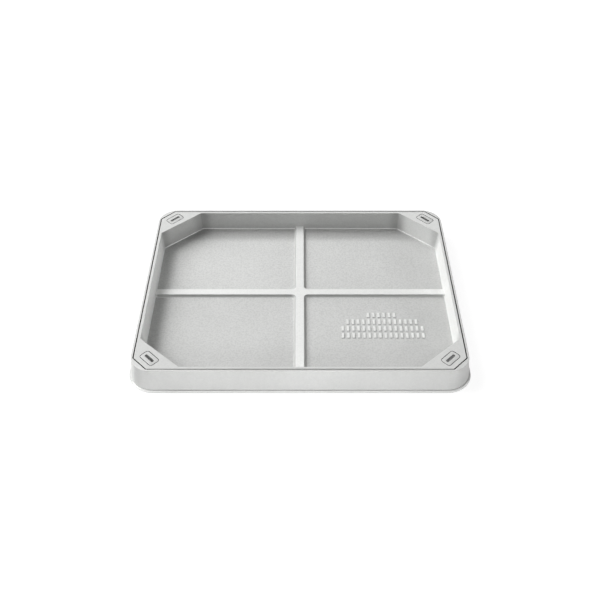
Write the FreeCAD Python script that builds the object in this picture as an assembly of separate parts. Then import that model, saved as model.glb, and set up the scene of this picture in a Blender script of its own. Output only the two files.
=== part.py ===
import FreeCAD, Part
import os
from math import atan2, degrees, hypot, sqrt

# Recessed paving cover, in millimetres.
# A cast frame is set in the ground, and a cast tray that is filled with paving drops into it.
# The origin is at the middle of the underside, +X along the long side and +Z up.

# Driving dimensions of the frame
CLEAR_LENGTH = 600.0
CLEAR_WIDTH = 450.0
CLEAR_CORNER_RADIUS = 30.0
LEDGE_WIDTH = 19.0
LEDGE_THICKNESS = 3.0
SEAT_CORNER_CUT = 28.4
SEAT_CORNER_ROUNDING = 4.0
SEAT_DRAFT = 1.0
FRAME_RIM = 4.0
FRAME_RIM_ROUNDING = 1.0
FRAME_FLARE = 5.9
FRAME_CORNER_RADIUS = 42.0
FLANGE_REACH = 4.0
FLANGE_CHAMFER = 2.4

# Driving dimensions of the tray
TRAY_CLEARANCE = 2.0
TRAY_DRAFT = 4.0
TRAY_FLOOR = 4.0
TRAY_RIM = 5.3
TRAY_RIM_ROUNDING = 0.6
RECESS_DEPTH = 43.5
RECESS_DRAFT = 3.2
RECESS_FLOOR_RADIUS = 1.8
RECESS_CORNER_RADIUS = 7.0
PLATE_LENGTH = 83.0
PLATE_WIDTH = 73.4
PLATE_THICKNESS = 8.0
POCKET_WALL = 5.0
POCKET_CORNER_RADIUS = 3.0

# Driving dimensions of the two ribs that cross on the tray floor, a little to the rear of its middle
RIB_CROSS_Y = 9.8
RIB_TOP_WIDTH = 16.6
RIB_HEIGHT = 6.5
RIB_ALONG_SIDE_RUN = 2.4
RIB_ACROSS_SIDE_RUN = 4.5
RIB_CROSS_RADIUS = 10.0
RIB_EDGE_ROUNDING = 1.2

# Driving dimensions of the raised keying pads on the tray floor
PAD_LENGTH = 14.4
PAD_WIDTH = 6.2
PAD_HEIGHT = 1.5
PAD_SIDE_RUN = 0.6
PAD_PITCH = 10.9
PAD_ROW_PITCH = 19.7
PAD_BLOCK_X = 169.6
PAD_BLOCK_Y = -85.5
PADS_IN_ROWS = (6, 14, 16, 16)

# Driving dimensions of the plugs and the key slots that they close
PLUG_LENGTH = 35.5
PLUG_WIDTH = 20.8
PLUG_THICKNESS = 3.0
PLUG_CORNER_RADIUS = 5.0
PLUG_EDGE_CHAMFER = 0.5
PLUG_FROM_CUT = 10.5
PLUG_TOWARDS_SIDE = 2.5
PLUG_CLEARANCE = 1.0
KEY_SLOT_LENGTH = 24.0
KEY_SLOT_WIDTH = 9.0
STEM_CLEARANCE = 0.3
STEM_WALL = 1.6
STEM_BELOW_PLATE = 5.0
SNAP_RADIUS = 0.9
SNAP_LENGTH = 10.0
SNAP_CLEARANCE = 0.2
PRY_SLOT_LENGTH = 24.0
PRY_SLOT_WIDTH = 5.6
PRY_SLOT_DEPTH = 1.8

# Driving dimensions of the seal strip
STRIP_THICKNESS = 1.0
STRIP_WIDTH = 12.0

# Heights worked out from the dimensions above
STRIP_TOP = LEDGE_THICKNESS + STRIP_THICKNESS
FLOOR_TOP = STRIP_TOP + TRAY_FLOOR
RIB_TOP = FLOOR_TOP + RIB_HEIGHT
COVER_TOP = FLOOR_TOP + RECESS_DEPTH
PLATE_UNDERSIDE = COVER_TOP - PLATE_THICKNESS
PLUG_SEAT = COVER_TOP - PLUG_THICKNESS

# Extra length of a cutting tool that passes right through, and how close two places count as one
OVERCUT = 1.0
SAME_PLACE = 0.01

ORIGIN = FreeCAD.Vector()
ALONG = FreeCAD.Vector(1, 0, 0)
ACROSS = FreeCAD.Vector(0, 1, 0)
UP = FreeCAD.Vector(0, 0, 1)
QUADRANTS = ((1, 1), (-1, 1), (-1, -1), (1, -1))
CORNERS = {
    "front_left": (-1, -1),
    "front_right": (1, -1),
    "rear_left": (-1, 1),
    "rear_right": (1, 1),
}


def inset(outline, distance):
    """Return a cut-corner outline moved inward by a distance, with its sides kept parallel.

    An outline is half length, half width, and the legs of its cut corners along X and Y.
    """
    half_x, half_y, cut_x, cut_y = outline
    shrink = distance * (cut_x + cut_y - hypot(cut_x, cut_y))
    return (half_x - distance, half_y - distance, cut_x - shrink / cut_y, cut_y - shrink / cut_x)


def seat_outline(z):
    """Return the outline of the frame's inner wall at a height."""
    half_x = CLEAR_LENGTH / 2 + LEDGE_WIDTH
    half_y = CLEAR_WIDTH / 2 + LEDGE_WIDTH
    draft = SEAT_DRAFT * (z - LEDGE_THICKNESS) / (COVER_TOP - LEDGE_THICKNESS)
    return inset((half_x, half_y, SEAT_CORNER_CUT, SEAT_CORNER_CUT), -draft)


def tray_outline(z):
    """Return the outline of the tray's outer wall at a height."""
    draft = TRAY_DRAFT * (COVER_TOP - z) / (COVER_TOP - STRIP_TOP)
    return inset(seat_outline(COVER_TOP), TRAY_CLEARANCE + draft)


def recess_outline(z):
    """Return the outline of the tray's inner wall at a height."""
    half_x, half_y = tray_outline(COVER_TOP)[:2]
    draft = RECESS_DRAFT * (COVER_TOP - z) / RECESS_DEPTH
    return inset((half_x - TRAY_RIM, half_y - TRAY_RIM, PLATE_LENGTH, PLATE_WIDTH), draft)


def frame_outline():
    """Return the half length and half width of the frame's top edge."""
    half_x, half_y = seat_outline(COVER_TOP)[:2]
    return half_x + FRAME_RIM, half_y + FRAME_RIM


def all_round(points):
    """Return one corner's points repeated in the four quadrants, in order round the origin."""
    found = []
    for sign_x, sign_y in QUADRANTS:
        corner = [(sign_x * x, sign_y * y) for x, y in points]
        found += corner if sign_x == sign_y else corner[::-1]
    return found


def cut_corners(outline):
    """Return the eight points of a cut-corner outline."""
    half_x, half_y, cut_x, cut_y = outline
    return all_round([(half_x, half_y - cut_y), (half_x - cut_x, half_y)])


def flat_sided(points_at, low, high):
    """Return the flat-sided solid between two heights, from a function that gives its points at a height."""
    lower, upper = [[FreeCAD.Vector(x, y, z) for x, y in points_at(z)] for z in (low, high)]
    loops = [lower[::-1], upper]
    for here in range(len(lower)):
        loops.append([lower[here - 1], lower[here], upper[here], upper[here - 1]])
    return Part.Solid(Part.Shell([Part.Face(Part.makePolygon(loop + loop[:1])) for loop in loops]))


def rounded_wire(half_x, half_y, radius, z):
    """Return a rectangle with rounded corners as a wire at a height."""
    middle = radius * (1 - 1 / sqrt(2))
    corner = [(half_x, half_y - radius), (half_x - middle, half_y - middle), (half_x - radius, half_y)]
    points = [FreeCAD.Vector(x, y, z) for x, y in all_round(corner)]
    edges = []
    for start in range(0, len(points), len(corner)):
        edges.append(Part.LineSegment(points[start - 1], points[start]).toShape())
        edges.append(Part.Arc(*points[start:start + len(corner)]).toShape())
    return Part.Wire(edges)


def slot_wire(length, width, z):
    """Return a slot with half-round ends as a wire at a height, lying along X."""
    radius = width / 2
    end = length / 2 - radius
    near = [FreeCAD.Vector(x, y, z) for x, y in ((end, -radius), (end + radius, 0), (end, radius))]
    far = [FreeCAD.Vector(-point.x, -point.y, z) for point in near]
    return Part.Wire([
        Part.Arc(*near).toShape(),
        Part.LineSegment(near[-1], far[0]).toShape(),
        Part.Arc(*far).toShape(),
        Part.LineSegment(far[-1], near[0]).toShape(),
    ])


def prism(wire, height):
    """Return the solid that stands on a wire."""
    return Part.Face(wire).extrude(UP * height)


def edges_between(shape, low, high):
    """Return the edges that run from one height to another, or lie level where both are the same."""
    found = []
    for edge in shape.Edges:
        heights = [vertex.Point.z for vertex in edge.Vertexes]
        if abs(min(heights) - low) < SAME_PLACE and abs(max(heights) - high) < SAME_PLACE:
            found.append(edge)
    return found


def rounded_upright(shape, radius, feet, low, high):
    """Return a shape with the upright edges that stand on the given points rounded."""
    feet = [FreeCAD.Vector(x, y, low) for x, y in feet]
    chosen = []
    for edge in edges_between(shape, low, high):
        ends = [vertex.Point for vertex in edge.Vertexes]
        if any(end.distanceToPoint(foot) < SAME_PLACE for end in ends for foot in feet):
            chosen.append(edge)
    return shape.makeFillet(radius, chosen)


def in_every_quadrant(shape):
    """Return a shape made for the rear right quadrant, with its mirror images in the other three."""
    pair = [shape, shape.mirror(ORIGIN, ALONG)]
    return pair + [half.mirror(ORIGIN, ACROSS) for half in pair]


def frame_block():
    """Return the block inside the frame's flared outer wall, rounded along its top edge."""
    half_x, half_y = frame_outline()
    height = COVER_TOP - LEDGE_THICKNESS
    turn_x = half_x - FRAME_CORNER_RADIUS
    turn_y = half_y - FRAME_CORNER_RADIUS

    def side_points(z):
        flare = FRAME_FLARE * (COVER_TOP - z) / height
        return all_round([(half_x + flare, turn_y), (turn_x, half_y + flare)])

    foot_radius = FRAME_CORNER_RADIUS + FRAME_FLARE
    corner = Part.makeCone(
        foot_radius, FRAME_CORNER_RADIUS, height, FreeCAD.Vector(turn_x, turn_y, LEDGE_THICKNESS), UP)
    block = flat_sided(side_points, LEDGE_THICKNESS, COVER_TOP).fuse(in_every_quadrant(corner))
    block = block.removeSplitter()
    return block.makeFillet(FRAME_RIM_ROUNDING, edges_between(block, COVER_TOP, COVER_TOP))


def foot_flange():
    """Return the plate under the frame's wall, chamfered along its upper edge."""
    half_x, half_y = frame_outline()
    reach = FRAME_FLARE + FLANGE_REACH
    outline = rounded_wire(half_x + reach, half_y + reach, FRAME_CORNER_RADIUS + reach, 0)
    plate = prism(outline, LEDGE_THICKNESS)
    return plate.makeChamfer(FLANGE_CHAMFER, edges_between(plate, LEDGE_THICKNESS, LEDGE_THICKNESS))


def tray_well():
    """Return the space that the tray drops into, down to the ledge."""
    top = COVER_TOP + OVERCUT
    well = flat_sided(lambda z: cut_corners(seat_outline(z)), LEDGE_THICKNESS, top)
    return well.makeFillet(SEAT_CORNER_ROUNDING, edges_between(well, LEDGE_THICKNESS, top))


def clear_opening():
    """Return the way through the ledge."""
    outline = rounded_wire(CLEAR_LENGTH / 2, CLEAR_WIDTH / 2, CLEAR_CORNER_RADIUS, -OVERCUT)
    return prism(outline, LEDGE_THICKNESS + 2 * OVERCUT)


def make_frame():
    """Return the frame casting."""
    return foot_flange().fuse(frame_block()).cut([tray_well(), clear_opening()]).removeSplitter()


def make_seal_strip():
    """Return the strip on the ledge, which follows the tray's lower edge."""
    edge = tray_outline(STRIP_TOP)
    strip = flat_sided(lambda z: cut_corners(edge), LEDGE_THICKNESS, STRIP_TOP)
    return strip.cut(flat_sided(lambda z: cut_corners(inset(edge, STRIP_WIDTH)), LEDGE_THICKNESS, STRIP_TOP))


def tray_block():
    """Return the tray as a solid block, with its corners and rim rounded."""
    block = flat_sided(lambda z: cut_corners(tray_outline(z)), STRIP_TOP, COVER_TOP)
    corner_rounding = SEAT_CORNER_ROUNDING - TRAY_CLEARANCE
    block = block.makeFillet(corner_rounding, edges_between(block, STRIP_TOP, COVER_TOP))
    return block.makeFillet(TRAY_RIM_ROUNDING, edges_between(block, COVER_TOP, COVER_TOP))


def recess_above_ribs():
    """Return the space for the paving above the ribs, with its upright corners rounded."""
    top = COVER_TOP + OVERCUT
    space = flat_sided(lambda z: cut_corners(recess_outline(z)), RIB_TOP, top)
    return space.makeFillet(RECESS_CORNER_RADIUS, edges_between(space, RIB_TOP, top))


def recess_between_ribs(rib_y):
    """Return the rear right space between the walls and the ribs, which cross at a distance from the middle.

    Its foot is rounded all round.
    """
    top = RIB_TOP + OVERCUT

    def points(z):
        half_x, half_y, cut_x, cut_y = recess_outline(z)
        down = (RIB_TOP - z) / RIB_HEIGHT
        side_x = RIB_TOP_WIDTH / 2 + RIB_ACROSS_SIDE_RUN * down
        side_y = rib_y + RIB_TOP_WIDTH / 2 + RIB_ALONG_SIDE_RUN * down
        by_plate = [(half_x, half_y - cut_y), (half_x - cut_x, half_y)]
        return [(side_x, side_y), (half_x, side_y)] + by_plate + [(side_x, half_y)]

    feet = points(FLOOR_TOP)
    space = flat_sided(points, FLOOR_TOP, top)
    space = rounded_upright(space, RIB_CROSS_RADIUS, feet[:1], FLOOR_TOP, top)
    space = rounded_upright(space, RECESS_CORNER_RADIUS, feet[2:4], FLOOR_TOP, top)
    return space.makeFillet(RECESS_FLOOR_RADIUS, edges_between(space, FLOOR_TOP, FLOOR_TOP))


def recesses_between_ribs():
    """Return the four spaces between the ribs and the walls."""
    right = [recess_between_ribs(RIB_CROSS_Y), recess_between_ribs(-RIB_CROSS_Y).mirror(ORIGIN, ACROSS)]
    return right + [space.mirror(ORIGIN, ALONG) for space in right]


def corner_hollow():
    """Return the hollow under the rear right corner plate, open at the tray's underside."""
    low = STRIP_TOP - OVERCUT

    def points(z):
        half_x, half_y, cut_x, cut_y = inset(tray_outline(z), POCKET_WALL)
        wall_x, wall_y, plate_x, plate_y = inset(recess_outline(z), -POCKET_WALL)
        beside = wall_y - plate_y + (wall_x - half_x) * plate_y / plate_x
        behind = wall_x - plate_x + (wall_y - half_y) * plate_x / plate_y
        return [(half_x, beside), (half_x, half_y - cut_y), (half_x - cut_x, half_y), (behind, half_y)]

    hollow = flat_sided(points, low, PLATE_UNDERSIDE)
    return rounded_upright(hollow, POCKET_CORNER_RADIUS, points(low), low, PLATE_UNDERSIDE)


def keying_pad(x, y):
    """Return one raised pad on the tray floor, with sloping sides."""
    foot = FLOOR_TOP - OVERCUT
    top = FLOOR_TOP + PAD_HEIGHT

    def points(z):
        shrink = PAD_SIDE_RUN * (z - FLOOR_TOP) / PAD_HEIGHT
        return all_round([(PAD_WIDTH / 2 - shrink, PAD_LENGTH / 2 - shrink)])

    return flat_sided(points, foot, top).translated(FreeCAD.Vector(x, y, 0))


def keying_pads():
    """Return the rows of pads, each row centred on the block."""
    pads = []
    for row, count in enumerate(PADS_IN_ROWS):
        y = PAD_BLOCK_Y + ((len(PADS_IN_ROWS) - 1) / 2 - row) * PAD_ROW_PITCH
        first_x = PAD_BLOCK_X - (count - 1) / 2 * PAD_PITCH
        pads += [keying_pad(first_x + place * PAD_PITCH, y) for place in range(count)]
    return pads


def at_corner(shape, corner):
    """Return a shape made at the origin, turned along a corner cut and moved to its plug's place."""
    half_x, half_y, cut_x, cut_y = tray_outline(COVER_TOP)
    length = hypot(cut_x, cut_y)
    inward = PLUG_FROM_CUT + PLUG_WIDTH / 2
    x = half_x - cut_x / 2 - (inward * cut_y + PLUG_TOWARDS_SIDE * cut_x) / length
    y = half_y - cut_y / 2 - (inward * cut_x - PLUG_TOWARDS_SIDE * cut_y) / length
    sign_x, sign_y = CORNERS[corner]
    placed = shape.copy()
    placed.rotate(ORIGIN, UP, -sign_x * sign_y * degrees(atan2(cut_y, cut_x)))
    placed.translate(FreeCAD.Vector(sign_x * x, sign_y * y, 0))
    return placed


def plug_seat():
    """Return the space for a plug's cap, with the key slot below it."""
    half_x = PLUG_LENGTH / 2 + PLUG_CLEARANCE
    half_y = PLUG_WIDTH / 2 + PLUG_CLEARANCE
    corner_radius = PLUG_CORNER_RADIUS + PLUG_CLEARANCE
    seat = prism(rounded_wire(half_x, half_y, corner_radius, PLUG_SEAT), PLUG_THICKNESS + OVERCUT)
    low = PLATE_UNDERSIDE - OVERCUT
    return seat.fuse(prism(slot_wire(KEY_SLOT_LENGTH, KEY_SLOT_WIDTH, low), COVER_TOP - low))


def rib_side_edges(tray):
    """Return the upper edges along the ribs, without the ends where a rib meets the wall."""
    wall_x, wall_y = recess_outline(RIB_TOP)[:2]
    found = []
    for edge in edges_between(tray, RIB_TOP, RIB_TOP):
        middle = edge.CenterOfMass
        if abs(middle.x) < wall_x - SAME_PLACE and abs(middle.y) < wall_y - SAME_PLACE:
            found.append(edge)
    return found


def make_tray():
    """Return the tray casting."""
    spaces = [recess_above_ribs()] + recesses_between_ribs() + in_every_quadrant(corner_hollow())
    tray = tray_block().cut(spaces).removeSplitter()
    tray = tray.makeFillet(RIB_EDGE_ROUNDING, rib_side_edges(tray)).fuse(keying_pads())
    return tray.cut([at_corner(plug_seat(), corner) for corner in CORNERS]).removeSplitter()


def plug_stem():
    """Return the hollow stem that goes through the key slot, with a snap ridge on each long side."""
    foot = PLATE_UNDERSIDE - STEM_BELOW_PLATE
    length = KEY_SLOT_LENGTH - 2 * STEM_CLEARANCE
    width = KEY_SLOT_WIDTH - 2 * STEM_CLEARANCE
    snap_z = PLATE_UNDERSIDE - SNAP_CLEARANCE - SNAP_RADIUS
    ridges = [Part.makeCylinder(SNAP_RADIUS, SNAP_LENGTH, FreeCAD.Vector(-SNAP_LENGTH / 2, y, snap_z), ALONG)
              for y in (-width / 2, width / 2)]
    hollow = prism(slot_wire(length - 2 * STEM_WALL, width - 2 * STEM_WALL, foot), PLUG_SEAT - foot)
    return prism(slot_wire(length, width, foot), PLUG_SEAT - foot).fuse(ridges).cut(hollow)


def make_plug():
    """Return a lifting plug at the origin: a flat cap with a pry slot, on its stem."""
    cap = prism(rounded_wire(PLUG_LENGTH / 2, PLUG_WIDTH / 2, PLUG_CORNER_RADIUS, PLUG_SEAT), PLUG_THICKNESS)
    cap = cap.makeChamfer(PLUG_EDGE_CHAMFER, edges_between(cap, COVER_TOP, COVER_TOP))
    slot_floor = COVER_TOP - PRY_SLOT_DEPTH
    pry_slot = prism(slot_wire(PRY_SLOT_LENGTH, PRY_SLOT_WIDTH, slot_floor), PRY_SLOT_DEPTH + OVERCUT)
    return cap.cut(pry_slot).fuse(plug_stem()).removeSplitter()


def main():
    """Export every piece as a STEP file of its own."""
    os.makedirs("parts", exist_ok=True)
    pieces = {"frame": make_frame(), "seal_strip": make_seal_strip(), "tray": make_tray()}
    plug = make_plug()
    for corner in CORNERS:
        pieces["lifting_plug_" + corner] = at_corner(plug, corner)
    for name, piece in pieces.items():
        piece.exportStep("parts/" + name + ".step")


main()
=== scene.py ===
"""Dress the recessed paving cover and set it in a plain studio.

The frame that stays in the ground, the tray that lifts out of it and the rubber seal between them
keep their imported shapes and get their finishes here. The four lifting plugs are modelled here and
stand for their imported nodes. Everything is in metres. +X runs along the long side, +Z is up, and
the origin is at the middle of the underside.
"""

import logging
import math
from collections.abc import Callable
from dataclasses import dataclass
from enum import Enum
from functools import cached_property

import bpy
from mathutils import Matrix, Vector


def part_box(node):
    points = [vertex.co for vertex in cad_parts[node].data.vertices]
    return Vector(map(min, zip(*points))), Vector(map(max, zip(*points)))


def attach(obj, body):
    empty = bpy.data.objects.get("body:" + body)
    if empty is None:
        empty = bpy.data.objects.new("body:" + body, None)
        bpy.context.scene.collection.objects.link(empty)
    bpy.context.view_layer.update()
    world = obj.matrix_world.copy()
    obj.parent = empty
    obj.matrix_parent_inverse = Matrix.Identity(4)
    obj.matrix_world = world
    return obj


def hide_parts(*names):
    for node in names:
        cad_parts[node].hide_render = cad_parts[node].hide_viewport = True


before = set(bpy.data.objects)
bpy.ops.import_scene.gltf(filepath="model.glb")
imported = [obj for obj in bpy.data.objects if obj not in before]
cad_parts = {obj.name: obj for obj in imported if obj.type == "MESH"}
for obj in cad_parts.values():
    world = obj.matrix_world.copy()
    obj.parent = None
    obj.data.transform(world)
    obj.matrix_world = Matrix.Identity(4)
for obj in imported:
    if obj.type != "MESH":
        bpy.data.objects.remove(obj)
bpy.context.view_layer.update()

LOG = logging.getLogger("paving_cover")
BODY = "root"

Colour = tuple[float, float, float]
Band = tuple[float, float]
Item = bpy.types.Object
Material = bpy.types.Material
Socket = bpy.types.NodeSocket
Feed = Socket | float | Colour
EdgeTest = Callable[[list[Vector]], bool]
FaceTest = Callable[[bpy.types.MeshPolygon], bool]

# Lengths that differ by less than this count as equal.
CLOSE = 1e-6
# A face whose normal has at least this share along Z looks straight up or down.
STRAIGHT = 0.9
# The share of each of two equal sides in a line at 45 degrees between them.
DIAGONAL = math.sqrt(0.5)
# The middle of the rear right plug, and of the others without their signs.
PLUG_MIDDLE = (0.28755, 0.21608)
# Where most of a noise's values lie.
NOISE_BAND = (0.3, 0.7)
# How far up a surface faces, from where it begins to count as level to where it does in full.
LEVEL_BAND = (0.70, 0.95)


class Corner(Enum):
    """The cover's four corners, each by the signs of its X and Y."""

    FRONT_LEFT = (-1, -1)
    FRONT_RIGHT = (1, -1)
    REAR_LEFT = (-1, 1)
    REAR_RIGHT = (1, 1)

    @property
    def plug_node(self) -> str:
        """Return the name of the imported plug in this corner."""
        return "lifting_plug_" + self.name.lower()

    @property
    def turn(self) -> float:
        """Return the angle that turns a plug from along X to along this corner's cut."""
        sign_x, sign_y = self.value
        return -sign_x * sign_y * math.pi / 4


class Sum(Enum):
    """The sums that a finish is worked out with, by the name of each in a Math node."""

    ADD = "ADD"
    LESS = "SUBTRACT"
    TIMES = "MULTIPLY"
    SIZE = "ABSOLUTE"
    LARGER = "MAXIMUM"
    SMALLER = "MINIMUM"


class Way(Enum):
    """The ways to combine two shapes, by the name of each in a boolean."""

    JOIN = "UNION"
    CUT = "DIFFERENCE"


@dataclass(frozen=True)
class ToneChange:
    """A tone that goes from 1 to the given one while what it follows goes from start to end."""

    start: float
    end: float
    tone: float


class NodeBoard:
    """The node tree of a material or of the room, with short methods for the steps they share."""

    def __init__(self, owner: Material | bpy.types.World) -> None:
        """Start an empty tree.

        Args:
            owner: The new material or room that the tree is for.
        """
        self.owner = owner
        owner.use_nodes = True
        owner.node_tree.nodes.clear()

    @cached_property
    def place(self) -> Socket:
        """Return the place on the object, in metres."""
        return self.node("TexCoord").outputs["Object"]

    @cached_property
    def spot(self) -> tuple[Socket, Socket, Socket]:
        """Return the X, Y and Z of the place on the object."""
        return self.axes(self.place)

    @cached_property
    def mirrored(self) -> tuple[Socket, Socket]:
        """Return X and Y without their signs, as if all corners were the rear right one."""
        x, y, _ = self.spot
        return self.sum(Sum.SIZE, x), self.sum(Sum.SIZE, y)

    @cached_property
    def facing(self) -> tuple[Socket, Socket, Socket]:
        """Return how far the surface faces along X, Y and Z: the last is 1 where it is level."""
        return self.axes(self.node("NewGeometry").outputs["Normal"])

    def node(self, kind: str, **settings: object) -> bpy.types.Node:
        """Add a node.

        Args:
            kind: The node's type, without the leading "ShaderNode".
            settings: Values for the node's own properties.

        Returns:
            The new node.
        """
        made = self.owner.node_tree.nodes.new("ShaderNode" + kind)
        for name, value in settings.items():
            setattr(made, name, value)
        return made

    def feed(self, socket: Socket, value: Feed) -> None:
        """Link an output to a socket, or set a plain value on it.

        Args:
            socket: The input that takes the value.
            value: An output of another node, a number or a colour.
        """
        if isinstance(value, bpy.types.NodeSocket):
            self.owner.node_tree.links.new(value, socket)
        elif isinstance(value, tuple) and len(socket.default_value) == 4:
            socket.default_value = (*value, 1.0)
        else:
            socket.default_value = value

    def filled(self, made: bpy.types.Node, *values: Feed) -> Socket:
        """Feed a node's inputs in their order.

        Args:
            made: The node.
            values: What goes into its first inputs.

        Returns:
            Its first output.
        """
        for socket, value in zip(made.inputs, values):
            self.feed(socket, value)
        return made.outputs[0]

    def wired(self, kind: str, **values: Feed) -> Socket:
        """Add a node and feed its inputs by their names.

        Args:
            kind: The node's type, without the leading "ShaderNode".
            values: What goes into its inputs, with _ for each space in a name.

        Returns:
            Its first output.
        """
        made = self.node(kind)
        for name, value in values.items():
            self.feed(made.inputs[name.replace("_", " ")], value)
        return made.outputs[0]

    def axes(self, vector: Socket) -> tuple[Socket, Socket, Socket]:
        """Take a vector apart.

        Args:
            vector: The vector.

        Returns:
            Its X, Y and Z.
        """
        split = self.node("SeparateXYZ")
        self.feed(split.inputs[0], vector)
        return split.outputs[0], split.outputs[1], split.outputs[2]

    def sum(self, step: Sum, first: Feed, second: Feed = 0.0) -> Socket:
        """Return the result of one sum, of two values or of the first alone."""
        return self.filled(self.node("Math", operation=step.value), first, second)

    def chain(self, step: Sum, *values: Feed) -> Socket:
        """Return the result of one sum over several values, taken in order.

        Args:
            step: The sum to do.
            values: The values, two or more.

        Returns:
            The result.
        """
        result = values[0]
        for value in values[1:]:
            result = self.sum(step, result, value)
        return result

    def product(self, *values: Feed) -> Socket:
        """Return several values multiplied together."""
        return self.chain(Sum.TIMES, *values)

    def total(self, *values: Feed) -> Socket:
        """Return several values added up."""
        return self.chain(Sum.ADD, *values)

    def largest(self, *values: Feed) -> Socket:
        """Return the largest of several values."""
        return self.chain(Sum.LARGER, *values)

    def rest(self, share: Socket) -> Socket:
        """Return what is left of 1 beside a share."""
        return self.sum(Sum.LESS, 1.0, share)

    def ramp(
            self, value: Socket, start: float, end: float, low: float = 0.0, high: float = 1.0,
    ) -> Socket:
        """Ease from one number to another while a value goes from start to end.

        Args:
            value: The value that is followed.
            start: Where the change begins.
            end: Where the change is complete. It may be lower than start.
            low: The result at and before start.
            high: The result at and past end.

        Returns:
            The eased number.
        """
        if start > end:
            start, end, low, high = end, start, high, low
        made = self.node("MapRange", interpolation_type="SMOOTHSTEP")
        return self.filled(made, value, start, end, low, high)

    def changed(self, value: Socket, change: ToneChange) -> Socket:
        """Return the tone that a change gives while it follows a value."""
        return self.ramp(value, change.start, change.end, 1.0, change.tone)

    def toned(self, share: Socket, tone: float) -> Socket:
        """Return 1 where a share is 0, easing to the tone where it is 1."""
        return self.ramp(share, 0.0, 1.0, 1.0, tone)

    def blend(self, share: Socket, first: Feed, second: Feed) -> Socket:
        """Return a number between two others.

        Args:
            share: How far it goes towards the second, from 0 to 1.
            first: The number at a share of 0.
            second: The number at a share of 1.

        Returns:
            The blended number.
        """
        made = self.node("Mix", data_type="FLOAT")
        self.feed(made.inputs[0], share)
        self.feed(made.inputs[2], first)
        self.feed(made.inputs[3], second)
        return made.outputs[0]

    def noise(self, grain: float, detail: float = 3.0, evenness: float = 0.5) -> Socket:
        """Return cloudy noise from 0 to 1.

        Args:
            grain: The size of its largest spots, in metres.
            detail: How many times finer spots are added.
            evenness: How strong the finer spots are.

        Returns:
            The noise.
        """
        return self.wired(
            "TexNoise", Vector=self.place, Scale=1 / grain, Detail=detail, Roughness=evenness)

    def crystals(self, size: float) -> Socket:
        """Return a flat shade from 0 to 1 for each of many small patches.

        Args:
            size: The width of a patch, in metres.

        Returns:
            The shade.
        """
        made = self.node("TexVoronoi", feature="F1")
        self.feed(made.inputs["Vector"], self.place)
        self.feed(made.inputs["Scale"], 1 / size)
        return self.axes(made.outputs["Color"])[0]

    def tinted(self, colour: Colour, tone: Socket) -> Socket:
        """Make a colour lighter or darker.

        Args:
            colour: The plain colour.
            tone: How light it gets, where 1 leaves it as it is.

        Returns:
            The colour in that tone.
        """
        made = self.node("Mix", data_type="RGBA", blend_type="MULTIPLY")
        self.feed(made.inputs["Factor"], 1.0)
        self.feed(made.inputs[6], colour)
        self.feed(made.inputs[7], tone)
        return made.outputs[2]

    def bump(
            self, height: Socket, strength: Feed, depth: float, below: Socket | None = None,
    ) -> Socket:
        """Return a normal tilted by a height.

        Args:
            height: The height, from 0 to 1.
            strength: How strongly it tilts the surface.
            depth: What a height of 1 stands for, in metres.
            below: A normal that is already tilted, to build on.

        Returns:
            The new normal.
        """
        tilt = {"Height": height, "Strength": strength, "Distance": depth}
        if below is not None:
            tilt["Normal"] = below
        return self.wired("Bump", **tilt)

    def seen_directly(self) -> Socket:
        """Tell which rays show the background.

        Returns:
            1 for rays from the camera, in gloss and through clear material, and 0 for others.
        """
        path = self.node("LightPath")
        kinds = ("Is Camera Ray", "Is Glossy Ray", "Is Transmission Ray")
        return self.largest(*(path.outputs[kind] for kind in kinds))

    def mixed(self, share: Socket, first: Socket, second: Socket) -> Socket:
        """Return a shader that is the first at a share of 0 and the second at a share of 1."""
        return self.filled(self.node("MixShader"), share, first, second)

    def surface(self, **values: Feed) -> Material:
        """Finish the material with one shader, from the values of its inputs, and return it."""
        return self.show(self.wired("BsdfPrincipled", **values))

    def show(self, shader: Socket) -> Material | bpy.types.World:
        """Send a shader to the output.

        Args:
            shader: The shader.

        Returns:
            The material or room that the tree is for.
        """
        kind = "OutputWorld" if isinstance(self.owner, bpy.types.World) else "OutputMaterial"
        self.feed(self.node(kind).inputs["Surface"], shader)
        return self.owner


@dataclass(frozen=True)
class Outline:
    """An outline round the cover's middle, with four straight sides and four cut corners.

    The cut holds the shares of X and Y that give a cut corner's direction, and their sum along it.
    """

    half_x: float
    half_y: float
    cut: tuple[float, float, float]

    def past(self, board: NodeBoard) -> tuple[Socket, Socket]:
        """Work out how far each place is outside the outline.

        Args:
            board: The board to work on.

        Returns:
            How far it is outside the outline, and outside the second nearest of the sides that
            meet in a corner. Both are above 0 outside and below 0 inside, in metres.
        """
        x, y = board.mirrored
        share_x, share_y, reach = self.cut
        past_side = board.largest(
            board.sum(Sum.LESS, x, self.half_x), board.sum(Sum.LESS, y, self.half_y))
        towards_cut = board.total(board.product(x, share_x), board.product(y, share_y))
        past_cut = board.sum(Sum.LESS, towards_cut, reach)
        return board.largest(past_side, past_cut), board.sum(Sum.SMALLER, past_side, past_cut)


def past_plug(board: NodeBoard, half: tuple[float, float]) -> Socket:
    """Return how far each place lies outside the outline of the nearest lifting plug.

    Args:
        board: The board to work on.
        half: Half the outline's size, across the corner and along it.

    Returns:
        The distance, which is less than 0 within the outline.
    """
    x, y = (board.sum(Sum.LESS, size, middle) for size, middle in zip(board.mirrored, PLUG_MIDDLE))
    past = []
    for step, reach in zip((Sum.ADD, Sum.LESS), half):
        distance = board.product(board.sum(Sum.SIZE, board.sum(step, x, y)), DIAGONAL)
        past.append(board.sum(Sum.LESS, distance, reach))
    return board.largest(*past)


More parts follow.
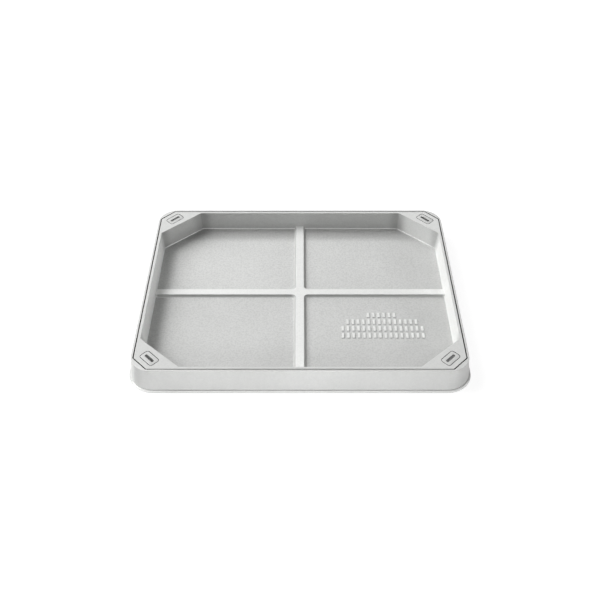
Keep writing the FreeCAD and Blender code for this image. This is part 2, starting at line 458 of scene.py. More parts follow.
@dataclass(frozen=True)
class CastingFinish:
    """The pale coat that both castings share: sand grain, faint crystals and slow clouds of tone.

    A band of place, depth, height, slope or facing says where something begins and where it is
    complete. Places and heights are in metres, and slopes and facings run from -1 to 1.
    """

    colour: Colour = (0.70, 0.705, 0.695)
    metallic: float = 0.2
    roughness: float = 0.56
    gloss: float = 0.5
    rubbed_smooth: float = 0.3
    cloud_size: float = 0.14
    cloud_depth: float = 0.015
    cloud_sheen: float = 0.04
    crystal_size: float = 0.006
    crystal_depth: float = 0.012
    grain_size: float = 0.0036
    grain_evenness: float = 0.65
    grain_height: float = 0.0003
    grain_strength: Band = (0.05, 0.40)
    grain_sheen: float = 0.06
    grain_roughness: float = 0.12
    pit_band: Band = (0.32, 0.62)
    pit_tones: Band = (-0.10, 0.06)
    fine_size: float = 0.0009
    fine_height: float = 0.00012
    fine_strength: float = 0.35
    # How dark the painted shade is in the joint round the tray and in the tray's plug seats.
    crevice_shade_tone: float = 0.06
    joint_depth: Band = (0.0507, 0.0472)
    side_joint_depth: Band = (0.0515, 0.0510)
    side_joint_facing: Band = (0.3, 0.6)

    def joint_shade_and_dulling(self, board: NodeBoard) -> Socket:
        """Return where the joint gets painted shade and a duller gloss: nearly to the top on its
        long and cut sides.

        Args:
            board: The board to work on.

        Returns:
            The painted shade, from 0 to 1.
        """
        height = board.spot[2]
        sideways = board.ramp(board.sum(Sum.SIZE, board.facing[0]), *self.side_joint_facing)
        sides = board.product(board.ramp(height, *self.side_joint_depth), sideways)
        return board.largest(board.ramp(height, *self.joint_depth), sides)

    def coat(
            self, board: NodeBoard, tone: Socket, graininess: Socket, crevice_shade_and_dulling: Socket, shine: Socket,
    ) -> Material:
        """Wire the coat from the tone, graininess, dulling and shine of each place.

        Args:
            board: The board to wire it on.
            tone: How light the coat is there, where 1 is the plain coat.
            graininess: How strong the sand grain is there, from 0 to 1.
            crevice_shade_and_dulling: Where painted shade lies in crevices; the coat's gloss is
                dulled there, from 0 to 1.
            shine: How far the coat is worn down to bright metal there, from 0 to 1.

        Returns:
            The material.
        """
        clouds = board.noise(self.cloud_size, detail=2.0)
        crystals = board.crystals(self.crystal_size)
        grain = board.noise(self.grain_size, evenness=self.grain_evenness)
        fine = board.noise(self.fine_size, detail=2.0)
        clean = board.rest(crevice_shade_and_dulling)
        pits = board.ramp(grain, *self.pit_band, *self.pit_tones)
        shade = board.product(
            tone,
            board.ramp(clouds, *NOISE_BAND, 1 - self.cloud_depth, 1 + self.cloud_depth),
            board.ramp(crystals, 0.0, 1.0, 1 - self.crystal_depth, 1 + self.crystal_depth),
            board.total(board.product(pits, graininess), 1.0))
        dullness = board.total(
            board.ramp(grain, *NOISE_BAND, -self.grain_sheen, self.grain_sheen),
            board.ramp(clouds, *NOISE_BAND, self.cloud_sheen, -self.cloud_sheen),
            board.product(graininess, self.grain_roughness), self.roughness)
        normal = board.bump(
            grain, board.ramp(graininess, 0.0, 1.0, *self.grain_strength), self.grain_height,
            board.bump(fine, self.fine_strength, self.fine_height))
        return board.surface(
            Base_Color=board.tinted(self.colour, shade),
            Metallic=board.product(board.total(shine, self.metallic), clean),
            Roughness=board.sum(Sum.LESS, dullness, board.product(shine, self.rubbed_smooth)),
            Specular_IOR_Level=board.product(clean, self.gloss), Normal=normal)


@dataclass(frozen=True)
class FrameFinish(CastingFinish):
    """The frame's coat, with painted shade in the joint round the tray and along the foot of the
    wall.

    The front of the foot flange gets painted light and a little shine, and the front left corner a
    painted highlight.
    """

    well: Outline = Outline(0.3215, 0.2465, (1.0, 1.0, 0.5380))
    well_edge: Band = (0.0, -0.0004)
    # The walls are painted a little darker than the level top: painted shade.
    top_tone: float = 0.97
    wall_tone: float = 0.88
    # Painted shade round the outer corners of the wall, which eases off where they face straight
    # along X.
    corner: ToneChange = ToneChange(0.25, 0.65, 0.88)
    corner_end: Band = (0.85, 0.97)
    # A painted highlight on the outer wall's front left corner.
    highlight_facing_start: Band = (-0.68, -0.86)
    highlight_facing_end: Band = (-0.99, -0.93)
    highlight_front: Band = (0.0, -0.15)
    highlight_tone: float = 1.20
    # Painted shade in the crease where the wall meets the foot flange.
    foot_height: Band = (0.0052, 0.0030)
    foot_crease_shade: float = 0.5
    # Painted light on the front of the foot flange, which lies in the wall's shade; it also gets a
    # little shine.
    flange_slope: Band = (0.3, 0.6)
    flange_front: Band = (-0.2150, -0.2550)
    flange_light_tone: float = 1.26
    flange_shine: float = 0.18
    graininess: Band = (0.30, 0.40)

    def wall_tones(self, board: NodeBoard, joint: Socket) -> Socket:
        """Return how light the walls are.

        Args:
            board: The board to work on.
            joint: Where painted shade lies in the joint, from 0 to 1.

        Returns:
            The tone, with painted shade in the joint and round the outer corners, and a painted
            highlight on the front left corner.
        """
        facing_x, facing_y, _ = board.facing
        sideways = board.sum(Sum.SIZE, facing_x)
        painted_highlight = board.product(
            board.ramp(facing_x, *self.highlight_facing_start),
            board.ramp(facing_x, *self.highlight_facing_end),
            board.ramp(facing_y, *self.highlight_front))
        return board.product(
            board.ramp(joint, 0.0, 1.0, self.wall_tone, self.crevice_shade_tone),
            board.changed(sideways, self.corner),
            board.ramp(sideways, *self.corner_end, 1.0, 1 / self.corner.tone),
            board.toned(painted_highlight, self.highlight_tone))

    def make(self) -> Material:
        """Wire the frame's coat.

        Returns:
            The material.
        """
        board = NodeBoard(bpy.data.materials.new("coated_frame_casting"))
        _, y, height = board.spot
        upward = board.facing[2]
        level = board.ramp(upward, *LEVEL_BAND)
        well = board.ramp(self.well.past(board)[0], *self.well_edge)
        joint = board.product(well, self.joint_shade_and_dulling(board))
        tops = board.product(board.toned(joint, self.crevice_shade_tone), self.top_tone)
        low = board.ramp(height, *self.foot_height)
        sloped = board.ramp(upward, *self.flange_slope)
        foot = board.product(low, board.rest(sloped))
        flange = board.product(low, sloped, board.ramp(y, *self.flange_front))
        tone = board.product(
            board.blend(level, self.wall_tones(board, joint), tops),
            board.toned(foot, self.foot_crease_shade), board.toned(flange, self.flange_light_tone))
        graininess = board.ramp(level, 0.0, 1.0, *self.graininess)
        return self.coat(board, tone, graininess, joint, board.product(flange, self.flange_shine))


@dataclass(frozen=True)
class TrayFinish(CastingFinish):
    """The tray's coat: grainy on the floor, smoother and lighter on the ribs, pads and top edges.

    Painted shade lies on the floor along the walls, towards the front and right and where the rear
    wall's shadow falls, and in the wall corners, the joint round the tray and the plugs' seats. The
    rear half of the floor gets painted light.
    """

    wall: Outline = Outline(0.3133, 0.2383, (1.0, 1.0, 0.5270))
    wall_edge: Band = (0.0, 0.0004)
    # The walls are painted lighter than the level surfaces: painted light.
    wall_tone: float = 1.11
    recess: Outline = Outline(0.3125, 0.2375, (0.6625, 0.7491, 0.3300))
    # Painted shade on the steep sides of the ribs and pads.
    rib_side_place: Band = (-0.0050, -0.0090)
    rib_side_tone: float = 0.76
    # Painted light on the walls facing +X, and painted shade on the rear left cut wall.
    left_wall: ToneChange = ToneChange(0.85, 0.95, 1.22)
    rear_left_wall: ToneChange = ToneChange(1.1, 1.3, 0.85)
    # Painted shade where two inner walls meet.
    wall_corner: Band = (-0.0240, -0.0010)
    wall_corner_tone: float = 0.74
    lit_facing: Band = (-0.15, -0.4)
    lit_slope: Band = (0.1, 0.25)
    lit_tone: float = 0.86
    # Painted shade in the plugs' seats, below their rim and on their steep faces.
    seat_half: tuple[float, float] = (0.0121, 0.0192)
    seat_edge: Band = (0.0, -0.0003)
    seat_depth: Band = (0.0514, 0.0508)
    seat_slope: Band = (0.9, 0.6)
    floor_height: Band = (0.0088, 0.0092)
    floor_tone: float = 0.92
    # Painted shade on the floor along the foot of the walls.
    floor_wall_shade: ToneChange = ToneChange(-0.0500, -0.0030, 0.84)
    # Painted shade on the floor towards the front and the right, a painted shadow of the rear wall,
    # and painted light on the rear half.
    front_floor_shade: ToneChange = ToneChange(-0.1100, -0.2100, 0.87)
    right_floor_shade: ToneChange = ToneChange(0.1500, 0.2800, 0.87)
    rear_wall_shadow: ToneChange = ToneChange(0.1830, 0.2050, 0.81)
    rear_half_light: ToneChange = ToneChange(-0.0200, 0.0700, 1.05)
    # The ribs and pads are lighter than the floor; towards the right wall they get painted shade
    # where its light falls on them.
    rib_end: Band = (0.2750, 0.2950)
    rib_tones: tuple[float, float] = (1.22, 1.08)
    top_height: Band = (0.0160, 0.0480)
    top_tone: float = 1.01
    # Painted shade to the left and front of the tray's top and painted light to the right and rear,
    # which evens out a lamp's highlight.
    top_length: Band = (-0.28, 0.28)
    top_left_right: tuple[float, float] = (0.93, 1.03)
    top_width: Band = (-0.20, 0.20)
    top_front_rear: tuple[float, float] = (0.965, 1.035)
    foot_height: Band = (0.0104, 0.0098)
    foot_slope: Band = (0.97, 0.88)
    foot_facing: Band = (-0.2, -0.4)
    foot_shine: float = 0.42
    graininess: Band = (0.35, 1.0)

    def crevice_shade_and_dulling(self, board: NodeBoard, outer: Socket) -> Socket:
        """Return where painted shade darkens the joint and the plugs' seats and dulls their gloss.

        Args:
            board: The board to work on.
            outer: Where the tray's outer wall is.

        Returns:
            The painted shade, from 0 to 1.
        """
        seat = board.ramp(past_plug(board, self.seat_half), *self.seat_edge)
        deep = board.largest(
            board.ramp(board.spot[2], *self.seat_depth),
            board.ramp(board.facing[2], *self.seat_slope))
        return board.largest(
            board.product(outer, self.joint_shade_and_dulling(board)), board.product(seat, deep))

    def level_tones(self, board: NodeBoard, past_recess: Socket, raised: Socket) -> Socket:
        """Return how light the floor, the ribs and pads on it, and the tray's top are.

        Args:
            board: The board to work on.
            past_recess: How far each place is outside the recess.
            raised: Where the surface is above the floor.

        Returns:
            The tone.
        """
        x, y, height = board.spot
        # The floor's tone carries painted shade along the walls and towards the front, right and
        # rear, and painted light on its rear half.
        floor = board.product(
            board.changed(past_recess, self.floor_wall_shade), board.changed(y, self.front_floor_shade),
            board.changed(x, self.right_floor_shade), board.changed(y, self.rear_wall_shadow),
            board.changed(y, self.rear_half_light), self.floor_tone)
        ribs = board.ramp(x, *self.rib_end, *self.rib_tones)
        tops = board.product(
            board.ramp(x, *self.top_length, *self.top_left_right),
            board.ramp(y, *self.top_width, *self.top_front_rear), self.top_tone)
        top = board.ramp(height, *self.top_height)
        return board.blend(top, board.blend(raised, floor, ribs), tops)

    def wall_tones(
            self, board: NodeBoard, past_recess: Socket, past_second: Socket, inner: Socket,
    ) -> Socket:
        """Return how light the walls and the ribs' sides are.

        Args:
            board: The board to work on.
            past_recess: How far each place is outside the recess.
            past_second: How far it is outside the second nearest side of the recess.
            inner: Where it isn't the tray's outer wall.

        Returns:
            The tone, with painted shade where two walls meet and on the ribs' sides, and painted
            light on the walls facing +X.
        """
        facing_x, facing_y, _ = board.facing
        corner = board.product(board.ramp(past_second, *self.wall_corner), inner)
        return board.product(
            board.ramp(past_recess, *self.rib_side_place, self.wall_tone, self.rib_side_tone),
            board.changed(facing_x, self.left_wall),
            board.changed(board.sum(Sum.LESS, facing_x, facing_y), self.rear_left_wall),
            board.toned(corner, self.wall_corner_tone))

    def make(self) -> Material:
        """Wire the tray's coat.

        Returns:
            The material.
        """
        board = NodeBoard(bpy.data.materials.new("coated_tray_casting"))
        facing_x, facing_y, upward = board.facing
        height = board.spot[2]
        level = board.ramp(upward, *LEVEL_BAND)
        raised = board.ramp(height, *self.floor_height)
        outer = board.ramp(self.wall.past(board)[0], *self.wall_edge)
        inner = board.rest(outer)
        past_recess, past_second = self.recess.past(board)
        # Painted shade in the joint and the plugs' seats, which also dulls the gloss there.
        crevice_shade_and_dulling = self.crevice_shade_and_dulling(board, outer)
        lit = board.product(
            board.ramp(facing_x, *self.lit_facing), board.ramp(upward, *self.lit_slope))
        tone = board.product(
            board.blend(
                level, self.wall_tones(board, past_recess, past_second, inner),
                self.level_tones(board, past_recess, raised)),
            board.toned(crevice_shade_and_dulling, self.crevice_shade_tone), board.toned(lit, self.lit_tone))
        foot = board.product(
            board.ramp(height, *self.foot_height), board.ramp(upward, *self.foot_slope),
            board.ramp(facing_y, *self.foot_facing), inner)
        on_floor = board.product(level, board.rest(raised))
        graininess = board.ramp(on_floor, 0.0, 1.0, *self.graininess)
        return self.coat(board, tone, graininess, crevice_shade_and_dulling, board.product(foot, self.foot_shine))


@dataclass(frozen=True)
class MouldedPlasticFinish:
    """The plugs' grey plastic: smooth, with a faint moulded grain, and painted shade in the slot,
    on steep faces and round the rim.
    """

    colour: Colour = (0.72, 0.725, 0.715)
    roughness: Band = (0.42, 0.56)
    grain_size: float = 0.0007
    grain_height: float = 0.00005
    grain_strength: float = 0.4
    grain_tones: Band = (0.985, 1.015)
    scuff_size: float = 0.006
    scuff_evenness: float = 0.6
    scuff_tones: Band = (0.96, 1.04)
    # Painted shade in the pry slot, on the steep faces and along the rim of the cap's face.
    pry_slot: ToneChange = ToneChange(0.0513, 0.0508, 0.35)
    edge: ToneChange = ToneChange(0.95, 0.70, 0.40)
    face_half: tuple[float, float] = (0.0104, 0.01775)
    rim: ToneChange = ToneChange(-0.0006, 0.0, 0.40)

    def make(self) -> Material:
        """Wire the plugs' plastic.

        Returns:
            The material.
        """
        board = NodeBoard(bpy.data.materials.new("moulded_plug_plastic"))
        grain = board.noise(self.grain_size, detail=2.0)
        scuffs = board.noise(self.scuff_size, detail=4.0, evenness=self.scuff_evenness)
        tone = board.product(
            board.changed(board.spot[2], self.pry_slot), board.changed(board.facing[2], self.edge),
            board.changed(past_plug(board, self.face_half), self.rim),
            board.ramp(scuffs, *NOISE_BAND, *self.scuff_tones),
            board.ramp(grain, *NOISE_BAND, *self.grain_tones))
        return board.surface(
            Base_Color=board.tinted(self.colour, tone),
            Roughness=board.ramp(scuffs, *NOISE_BAND, *self.roughness),
            Normal=board.bump(grain, self.grain_strength, self.grain_height))


@dataclass(frozen=True)
class RubberFinish:
    """The seal's black rubber, matt, with a bloom of pale dust."""

    colour: Colour = (0.022, 0.022, 0.023)
    roughness: Band = (0.72, 0.88)
    dust_size: float = 0.012
    dust_evenness: float = 0.6
    dust: ToneChange = ToneChange(0.45, 0.8, 2.4)
    grain_size: float = 0.0006
    grain_height: float = 0.00006
    grain_strength: float = 0.5

    def make(self) -> Material:
        """Wire the seal's rubber.

        Returns:
            The material.
        """
        board = NodeBoard(bpy.data.materials.new("seal_rubber"))
        dust = board.noise(self.dust_size, detail=4.0, evenness=self.dust_evenness)
        grain = board.noise(self.grain_size, detail=2.0)
        return board.surface(
            Base_Color=board.tinted(self.colour, board.changed(dust, self.dust)),
            Roughness=board.ramp(dust, *NOISE_BAND, *self.roughness),
            Normal=board.bump(grain, self.grain_strength, self.grain_height))


@dataclass(frozen=True)
class StudioFloorFinish:
    """A pale floor that is white where it is seen or reflected, and keeps the cover's shadow.

    It can't be seen from below, so the cover's underside can.
    """

    colour: Colour = (0.85, 0.85, 0.85)
    roughness: float = 0.9
    glow: float = 0.92
    shadow_share: Colour = (0.22, 0.22, 0.22)

    def make(self) -> Material:
        """Wire the floor's finish.

        Returns:
            The material.
        """
        board = NodeBoard(bpy.data.materials.new("studio_floor"))
        plain = board.wired("BsdfDiffuse", Color=self.colour, Roughness=self.roughness)
        shaded = board.wired("BsdfDiffuse", Color=self.shadow_share)
        glow = board.wired("Emission", Strength=self.glow)
        seen = board.filled(board.node("AddShader"), shaded, glow)
        upper = board.mixed(board.seen_directly(), plain, seen)
        from_below = board.node("NewGeometry").outputs["Backfacing"]
        return board.show(board.mixed(from_below, upper, board.wired("BsdfTransparent")))


def clear_selection() -> None:
    """Leave edit mode if it is on, and deselect every object."""
    if bpy.context.mode != "OBJECT":
        bpy.ops.object.mode_set(mode="OBJECT")
    bpy.ops.object.select_all(action="DESELECT")


def take_up(piece: Item) -> None:
    """Select one piece alone and make it active.

    Args:
        piece: The piece.
    """
    clear_selection()
    piece.select_set(True)
    bpy.context.view_layer.objects.active = piece


def open_for_editing(piece: Item, mode: str) -> None:
    """Make a piece ready for a selection, with nothing on it selected yet.

    Args:
        piece: The piece to edit.
        mode: What will be selected: "VERT", "EDGE" or "FACE".
    """
    take_up(piece)
    bpy.ops.object.mode_set(mode="EDIT")
    bpy.ops.mesh.select_mode(type=mode)
    bpy.ops.mesh.select_all(action="DESELECT")
    bpy.ops.object.mode_set(mode="OBJECT")


def fix_new_shape(name: str) -> Item:
    """Name the shape that was just added and make its place, turn and size part of its mesh.

    Args:
        name: A name for it.

    Returns:
        The shape.
    """
    shape = bpy.context.object
    shape.name = name
    bpy.ops.object.transform_apply(location=True, rotation=True, scale=True)
    return shape


def add_block(name: str, size: Vector, place: Vector) -> Item:
    """Add a block.

    Args:
        name: A name for it.
        size: Its length, width and height.
        place: Its middle.

    Returns:
        The block.
    """
    clear_selection()
    bpy.ops.mesh.primitive_cube_add(size=1, location=place)
    bpy.context.object.scale = size
    return fix_new_shape(name)


def set_finish(piece: Item, material: Material) -> None:
    """Give a piece one material in all of its slots, or in a new slot where it has none.

    Args:
        piece: The piece.
        material: The material.
    """
    if not piece.material_slots:
        piece.data.materials.append(material)
    for slot in piece.material_slots:
        slot.material = material


def runs_up(ends: list[Vector]) -> bool:
    """Tell whether an edge runs straight up."""
    return abs(ends[0].x - ends[1].x) < CLOSE and abs(ends[0].y - ends[1].y) < CLOSE


def lies_across(ends: list[Vector]) -> bool:
    """Tell whether an edge lies square across X."""
    return abs(ends[0].x - ends[1].x) < CLOSE


@dataclass
class PackedPiece:
    """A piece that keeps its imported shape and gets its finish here."""

    node: str
    finish: FrameFinish | TrayFinish | RubberFinish

    def dress(self) -> Item:
        """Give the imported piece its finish.

        Returns:
            The piece.
        """
        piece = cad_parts[self.node]
        set_finish(piece, self.finish.make())
        return piece


@dataclass
class FrameCasting(PackedPiece):
    """The outer casting that stays in the ground."""

    node: str = "frame"
    finish: FrameFinish = FrameFinish()


@dataclass
class TrayCasting(PackedPiece):
    """The lift-out casting that holds the paving."""

    node: str = "tray"
    finish: TrayFinish = TrayFinish()


@dataclass
class SealStrip(PackedPiece):
    """The rubber strip on the frame's ledge, under the tray."""

    node: str = "seal_strip"
    finish: RubberFinish = RubberFinish()


@dataclass
class LiftingPlug:
    """A push-in cap that closes a lifting slot, modelled once and copied to each corner.

    It is modelled along X over the origin, at its own height, and then turned and moved.
    """

    finish: MouldedPlasticFinish = MouldedPlasticFinish()
    top: float = 0.0515
    cap_length: float = 0.0355
    cap_width: float = 0.0208
    cap_thickness: float = 0.0030
    cap_corner_radius: float = 0.0050
    cap_corner_strips: int = 8
    cap_edge_radius: float = 0.0005
    cap_edge_strips: int = 3
    pry_length: float = 0.0240
    pry_width: float = 0.0056
    pry_depth: float = 0.0018
    pry_lip: float = 0.0004
    grip_count: int = 7
    grip_pitch: float = 0.0029
    grip_width: float = 0.0011
    grip_below_top: float = 0.0005
    stem_foot: float = 0.0385
    stem_length: float = 0.0234
    stem_width: float = 0.0084
    stem_wall: float = 0.0016
    stem_lead_in: float = 0.0006
    snap_radius: float = 0.0009
    snap_length: float = 0.0100
    snap_height: float = 0.0424
    snap_sides: int = 20
    round_end_sides: int = 32
    small_edge_share: float = 3.0
    small_edge_strips: int = 2
    smooth_angle: float = 35.0
    overlap: float = 0.0002
    slot: str = "plug_plastic"

    def build(self) -> list[Item]:
        """Model the plug and set a copy in each corner.

        Returns:
            The four plugs.
        """
        pattern = self.cap()
        self.combine(pattern, self.stem(), Way.JOIN)
        for side in (-1, 1):
            self.combine(pattern, self.snap_ridge(side), Way.JOIN)
        for bar in self.grip_bars():
            self.combine(pattern, bar, Way.JOIN)
        take_up(pattern)
        bpy.ops.object.shade_smooth_by_angle(angle=math.radians(self.smooth_angle))
        set_finish(pattern, self.finish.make())
        plugs = [self.copy_to(pattern, corner) for corner in Corner]
        bpy.data.objects.remove(pattern)
        return plugs

    def copy_to(self, pattern: Item, corner: Corner) -> Item:
        """Set a copy of the plug in its corner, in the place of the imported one.

        Args:
            pattern: The plug over the origin.
            corner: The corner that it closes.

        Returns:
            The copy.
        """
        low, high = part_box(corner.plug_node)
        middle = (low + high) / 2
        place = Matrix.Translation((middle.x, middle.y, 0)) @ Matrix.Rotation(corner.turn, 4, "Z")
        plug = pattern.copy()
        plug.data = pattern.data.copy()
        plug.name = corner.plug_node + "_moulded"
        bpy.context.scene.collection.objects.link(plug)
        plug.data.transform(place)
        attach(plug, BODY)
        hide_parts(corner.plug_node)
        return plug

    def cap(self) -> Item:
        """Model the flat cap with rounded corners, a softened edge and a pry slot.

        Returns:
            The cap.
        """
        cap = add_block(
            "plug_cap", Vector((self.cap_length, self.cap_width, self.cap_thickness)),
            Vector((0, 0, self.top - self.cap_thickness / 2)))
        self.round_edges(cap, runs_up, self.cap_corner_radius, self.cap_corner_strips)
        self.round_edges(cap, self.is_top_rim, self.cap_edge_radius, self.cap_edge_strips)
        over = self.top + self.overlap
        cutter = self.slot_shape(
            "pry_cutter", self.pry_length, self.pry_width, self.top - self.pry_depth, over)
        self.combine(cap, cutter, Way.CUT)
        lip = self.slot_shape(
            "pry_lip_cutter", self.pry_length, self.pry_width, self.top - self.pry_lip, over)
        self.flare_top(lip, self.pry_lip)
        self.combine(cap, lip, Way.CUT)
        return cap

    def stem(self) -> Item:
        """Model the hollow stem that goes down the key slot.

        Returns:
            The stem.
        """
        head = self.top - self.cap_thickness
        stem = self.slot_shape(
            "plug_stem", self.stem_length, self.stem_width, self.stem_foot, head + self.overlap)
        self.select_faces(stem, lambda face: face.normal.z < -STRAIGHT)
        bpy.ops.object.mode_set(mode="EDIT")
        bpy.ops.mesh.inset(thickness=self.stem_wall)
        bpy.ops.mesh.extrude_region_move(
            TRANSFORM_OT_translate={"value": (0, 0, head - self.stem_foot)})
        bpy.ops.object.mode_set(mode="OBJECT")
        self.round_edges(stem, self.is_stem_foot, self.stem_lead_in, self.small_edge_strips)
        return stem

    def snap_ridge(self, side: int) -> Item:
        """Model the ridge on one long side of the stem that snaps under the plate.

        Args:
            side: 1 for the side towards +Y and -1 for the other.

        Returns:
            The ridge.
        """
        clear_selection()
        bpy.ops.mesh.primitive_cylinder_add(
            vertices=self.snap_sides, radius=self.snap_radius, depth=self.snap_length,
            rotation=(0, math.pi / 2, 0),
            location=(0, side * self.stem_width / 2, self.snap_height))
        ridge = fix_new_shape("snap_ridge")
        self.round_edges(
            ridge, lies_across, self.snap_radius / self.small_edge_share, self.small_edge_strips)
        return ridge

    def grip_bars(self) -> list[Item]:
        """Model the small bars across the pry slot that a screwdriver bears on.

        Returns:
            The bars, from left to right.
        """
        low = self.top - self.pry_depth - self.overlap
        high = self.top - self.grip_below_top
        size = Vector((self.grip_width, self.pry_width + 2 * self.overlap, high - low))
        bars = []
        for place in range(self.grip_count):
            x = (place - (self.grip_count - 1) / 2) * self.grip_pitch
            bar = add_block("grip_bar", size, Vector((x, 0, (low + high) / 2)))
            self.round_edges(
                bar, lambda ends: min(end.z for end in ends) > high - CLOSE and lies_across(ends),
                self.grip_width / self.small_edge_share, self.small_edge_strips)
            bars.append(bar)
        return bars

    def slot_shape(
            self, name: str, length: float, width: float, low: float, high: float,
    ) -> Item:
        """Stretch a cylinder into a bar with half-round ends, lying along X.

        Args:
            name: A name for the bar.
            length: Its length over the ends.
            width: Its width.
            low: The height of its lower face.
            high: The height of its upper face.

        Returns:
            The bar.
        """
        clear_selection()
        bpy.ops.mesh.primitive_cylinder_add(
            vertices=self.round_end_sides, radius=width / 2, depth=high - low,
            rotation=(0, 0, math.pi / self.round_end_sides), location=(0, 0, (low + high) / 2))
        bar = fix_new_shape(name)
        for side in (-1, 1):
            open_for_editing(bar, "VERT")
            for point in bar.data.vertices:
                point.select = side * point.co.x > 0
            bpy.ops.object.mode_set(mode="EDIT")
            bpy.ops.transform.translate(value=(side * (length - width) / 2, 0, 0))
            bpy.ops.object.mode_set(mode="OBJECT")
        return bar

    def flare_top(self, bar: Item, reach: float) -> None:
        """Widen the upper face of a bar, so that what it cuts gets a sloping lip.

        Args:
            bar: The bar.
            reach: How far its upper face grows on each side.
        """
        self.select_faces(bar, lambda face: face.normal.z > STRAIGHT)
        bpy.ops.object.mode_set(mode="EDIT")
        bpy.ops.transform.resize(
            value=(1 + 2 * reach / self.pry_length, 1 + 2 * reach / self.pry_width, 1))
        bpy.ops.object.mode_set(mode="OBJECT")

    def select_faces(self, piece: Item, wanted: FaceTest) -> None:
        """Select the faces that a test picks, with nothing else selected.

        Args:
            piece: The piece.
            wanted: A function of a face that says whether it is selected.
        """
        open_for_editing(piece, "FACE")
        for face in piece.data.polygons:
            face.select = wanted(face)

    def round_edges(
            self, piece: Item, wanted: EdgeTest, width: float, strips: int,
    ) -> None:
        """Round the edges that a test picks.

        Args:
            piece: The piece.
            wanted: A function of an edge's two ends that says whether it is rounded.
            width: The width of the rounding.
            strips: How many strips the rounding has.
        """
        open_for_editing(piece, "EDGE")
        points = piece.data.vertices
        for edge in piece.data.edges:
            edge.select = wanted([points[place].co for place in edge.vertices])
        bpy.ops.object.mode_set(mode="EDIT")
        bpy.ops.mesh.bevel(offset=width, segments=strips, affect="EDGES")
        bpy.ops.object.mode_set(mode="OBJECT")

    def is_top_rim(self, ends: list[Vector]) -> bool:
        """Tell whether an edge runs round the cap's upper face."""
        return min(end.z for end in ends) > self.top - CLOSE

    def is_stem_foot(self, ends: list[Vector]) -> bool:
        """Tell whether an edge runs round the outside of the stem's foot.

        Args:
            ends: The edge's two ends.

        Returns:
            Whether it does.
        """
        if max(end.z for end in ends) > self.stem_foot + CLOSE:
            return False
        straight = (self.stem_length - self.stem_width) / 2
        reach = [math.hypot(max(abs(end.x) - straight, 0), end.y) for end in ends]
        return min(reach) > self.stem_width / 2 - self.stem_wall / 2

    def combine(self, piece: Item, other: Item, way: Way) -> None:
        """Combine a piece with another shape and remove the other shape.

        Args:
            piece: The piece that is changed.
            other: The shape that changes it.
            way: Whether the shape is joined to the piece or cut out of it.
        """
        take_up(piece)
        step = piece.modifiers.new("combine", "BOOLEAN")
        step.operation = way.value
        step.solver = "EXACT"
        step.object = other
        bpy.ops.object.modifier_apply(modifier=step.name)
        bpy.data.objects.remove(other)


@dataclass(frozen=True)
class Lamp:
    """A round soft lamp that faces the cover.

    The azimuth is counter-clockwise from +X, so 90 is behind the cover and 180 is at its left.
    """

    name: str
    azimuth: float
    elevation: float
    level: float
    distance: float
    size: float

    def hang(self) -> Item:
        """Hang the lamp.

        Returns:
            The lamp.
        """
        data = bpy.data.lights.new(self.name, "AREA")
        data.shape = "DISK"
        data.size = self.size
        data.energy = math.pi ** 2 * self.distance ** 2 * self.level
        azimuth = math.radians(self.azimuth)
        elevation = math.radians(self.elevation)
        across = math.cos(elevation)
        towards = Vector(
            (math.cos(azimuth) * across, math.sin(azimuth) * across, math.sin(elevation)))
        return place_light(data, towards * self.distance, towards)


def place_light(data: bpy.types.Light, place: Vector, away: Vector) -> Item:
    """Put a light in the scene, unseen by the camera.

    Args:
        data: The light.
        place: Where it hangs.
        away: The direction that its back points in.

    Returns:
        The light's object.
    """
    lamp = bpy.data.objects.new(data.name, data)
    bpy.context.scene.collection.objects.link(lamp)
    lamp.location = place
    lamp.rotation_mode = "QUATERNION"
    lamp.rotation_quaternion = away.to_track_quat("Z", "Y")
    lamp.visible_camera = False
    return lamp


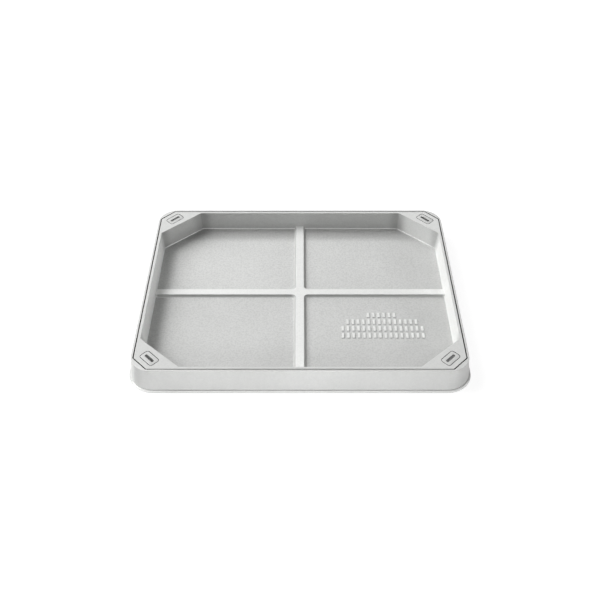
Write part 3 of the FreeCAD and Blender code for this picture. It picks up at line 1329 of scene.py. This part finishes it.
@dataclass
class Studio:
    """The pale floor, the soft lamps and the even light of the room."""

    floor_finish: StudioFloorFinish = StudioFloorFinish()
    floor_size: float = 12.0
    floor_gap: float = 0.0003
    room_colour: Colour = (1.0, 1.0, 1.0)
    room_level: float = 0.04
    lamps: tuple[Lamp, ...] = (
        Lamp("wide_left_lamp", azimuth=149, elevation=42, level=0.90, distance=12.0, size=9.0),
        Lamp("low_left_lamp", azimuth=172, elevation=24, level=0.26, distance=12.0, size=5.0),
        Lamp("high_left_lamp", azimuth=180, elevation=52, level=0.15, distance=12.0, size=3.3),
        Lamp("low_right_lamp", azimuth=0, elevation=6, level=0.25, distance=4.0, size=1.1),
    )
    strip_length: float = 0.3
    strip_height: float = 0.05
    strip_power: float = 5.4
    strip_place: tuple[float, float, float] = (0.0, -1.2, 0.026)

    def lay_floor(self) -> Item:
        """Lay the floor under the cover.

        Returns:
            The floor.
        """
        clear_selection()
        bpy.ops.mesh.primitive_plane_add(size=self.floor_size, location=(0, 0, -self.floor_gap))
        floor = bpy.context.object
        floor.name = "studio_floor"
        set_finish(floor, self.floor_finish.make())
        return floor

    def light(self) -> list[Item]:
        """Hang the lamps and the low front strip, and light the room.

        Returns:
            The lights.
        """
        lights = [lamp.hang() for lamp in self.lamps]
        strip = bpy.data.lights.new("low_front_strip", "AREA")
        strip.shape = "RECTANGLE"
        strip.size = self.strip_length
        strip.size_y = self.strip_height
        strip.energy = self.strip_power
        lights.append(place_light(strip, Vector(self.strip_place), Vector((0, -1, 0))))
        self.light_room()
        return lights

    def light_room(self) -> None:
        """Make the room white where it is seen, and an even soft light elsewhere."""
        board = NodeBoard(bpy.data.worlds.new("studio_room"))
        level = board.ramp(board.seen_directly(), 0.0, 1.0, self.room_level, 1.0)
        room = board.wired("Background", Color=self.room_colour, Strength=level)
        bpy.context.scene.world = board.show(room)


@dataclass(frozen=True)
class Viewpoint:
    """The camera, where the photograph was taken from."""

    place: tuple[float, float, float] = (0.0, -1.2327, 1.1719)
    tilt: float = 46.43
    lens: float = 47.46
    sensor_width: float = 36.0

    def set_up(self) -> Item:
        """Add the camera and make it the scene's own.

        Returns:
            The camera.
        """
        data = bpy.data.cameras.new("viewpoint")
        data.lens = self.lens
        data.sensor_width = self.sensor_width
        camera = bpy.data.objects.new("viewpoint", data)
        bpy.context.scene.collection.objects.link(camera)
        camera.location = self.place
        camera.rotation_euler = (math.radians(self.tilt), 0, 0)
        bpy.context.scene.camera = camera
        return camera


def report(piece: Item) -> None:
    """Log a finished piece's name and how many faces it has."""
    LOG.info("%s: %d faces", piece.name, len(piece.data.polygons))


def main() -> None:
    """Dress the castings and the seal, model the plugs, and set up the studio and the camera."""
    logging.basicConfig(level=logging.INFO, format="%(name)s: %(message)s")
    Viewpoint().set_up()
    for packed in (FrameCasting(), TrayCasting(), SealStrip()):
        report(packed.dress())
    for plug in LiftingPlug().build():
        report(plug)
    studio = Studio()
    report(studio.lay_floor())
    for light in studio.light():
        LOG.info("%s hung at %s", light.name, tuple(round(number, 2) for number in light.location))
    bpy.context.scene.view_settings.view_transform = "Standard"


if __name__ == "__main__":
    main()
